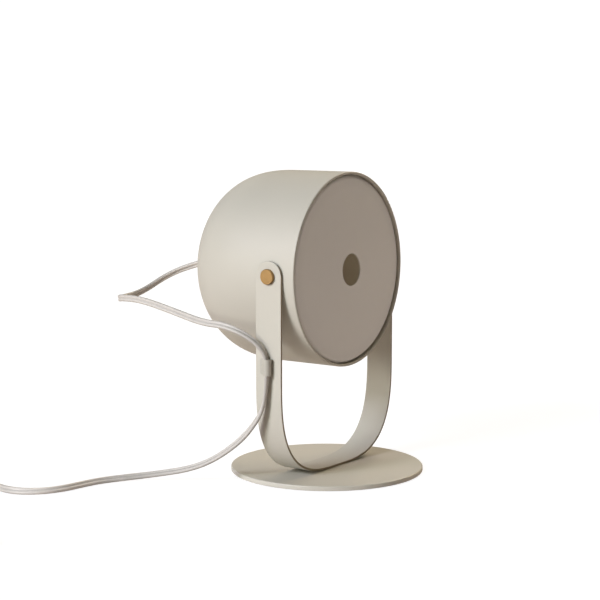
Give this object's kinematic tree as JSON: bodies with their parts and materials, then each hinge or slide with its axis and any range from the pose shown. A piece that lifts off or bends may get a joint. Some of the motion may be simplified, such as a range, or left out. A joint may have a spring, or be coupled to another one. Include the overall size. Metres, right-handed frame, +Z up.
{
  "type": "tabletop searchlight lamp",
  "caption": "Drum-shaped lamp head with a domed back and an opal front, tilting in a flat-strip U yoke on a round base, with a clipped cord, in-line switch and plug.",
  "frame": {"origin": "centre of the underside of the round base", "axes": "+Z up, the lamp faces -Y, the tilt axis runs along X, the cable clip is on the -X arm"},
  "size_m": [0.5289, 0.3748, 0.3047],
  "materials": {
    "powder_coat": "satin fine-texture powder coat, warm beige",
    "inner_white": "satin white",
    "brass": "satin brushed brass",
    "zinc_steel": "zinc plated",
    "nickel": "nickel plated",
    "opal_acrylic": "opal acrylic, satin face",
    "nylon": "natural nylon",
    "phenolic": "black moulded phenolic",
    "liner": "pressed insulating liner",
    "bulb_metal": "aluminium screw base",
    "frosted_glass": "frosted glass",
    "pad_rubber": "matt anti-slip pad",
    "boot_plastic": "flexible grey boot",
    "wire": "insulated wire",
    "cord_sheath": "clear flat sheath over tinned strands",
    "switch_plastic": "satin warm grey housing",
    "rocker_plastic": "satin darker grey rocker",
    "hook_loop": "black hook-and-loop strap"
  },
  "bodies": {
    "stand": {"base_plate": "powder_coat", "base_pad": "pad_rubber", "yoke": "powder_coat", "yoke_studs": "powder_coat", "base_washers": "zinc_steel", "base_nuts": "zinc_steel", "cable_clip": "powder_coat", "clip_rivet": "powder_coat", "pivot_bushing_left": "nylon", "pivot_bushing_right": "nylon", "cord_upper": "cord_sheath", "cord_lower": "cord_sheath", "cord_link": "cord_sheath", "cord_coil": "cord_sheath", "cord_tail": "cord_sheath", "coil_tie": "hook_loop", "switch_upper_shell": "switch_plastic", "switch_lower_shell": "switch_plastic", "switch_screws": "zinc_steel", "switch_bushings": "boot_plastic", "switch_contacts": "brass", "plug_body": "switch_plastic", "plug_blades": "nickel"},
    "head": {"head_shell": "powder_coat", "diffuser": "opal_acrylic", "diffuser_magnets": "nickel", "diffuser_support_ring": "inner_white", "pivot_screw_left": "brass", "pivot_screw_right": "brass", "saddle_washer_left": "nylon", "saddle_washer_right": "nylon", "backing_plate_left": "zinc_steel", "backing_plate_right": "zinc_steel", "pivot_spring_washers": "zinc_steel", "pivot_lock_nuts": "zinc_steel", "threaded_nipple": "zinc_steel", "nipple_locknut": "zinc_steel", "socket_cap": "phenolic", "socket_skirt": "phenolic", "socket_liner": "liner", "socket_core": "phenolic", "socket_screw_shell": "brass", "socket_contact": "brass", "bulb_base": "bulb_metal", "bulb_globe": "frosted_glass", "socket_wires": "wire", "rear_strain_relief": "boot_plastic", "cord_inner_lead": "cord_sheath"},
    "switch_rocker": {"switch_rocker": "rocker_plastic"}
  },
  "joints": [
    {"name": "head_tilt", "type": "hinge", "parent": "stand", "child": "head", "pos_m": [0, 0, 0.2072], "axis": [1, 0, 0], "range_deg": [-60, 60], "deforming": ["cord_upper"]},
    {"name": "rocker_switch", "type": "hinge", "parent": "stand", "child": "switch_rocker", "pos_m": [-0.333, 0.264, 0.0125], "axis": [0, 1, 0], "range_deg": [0, 16]}
  ]
}
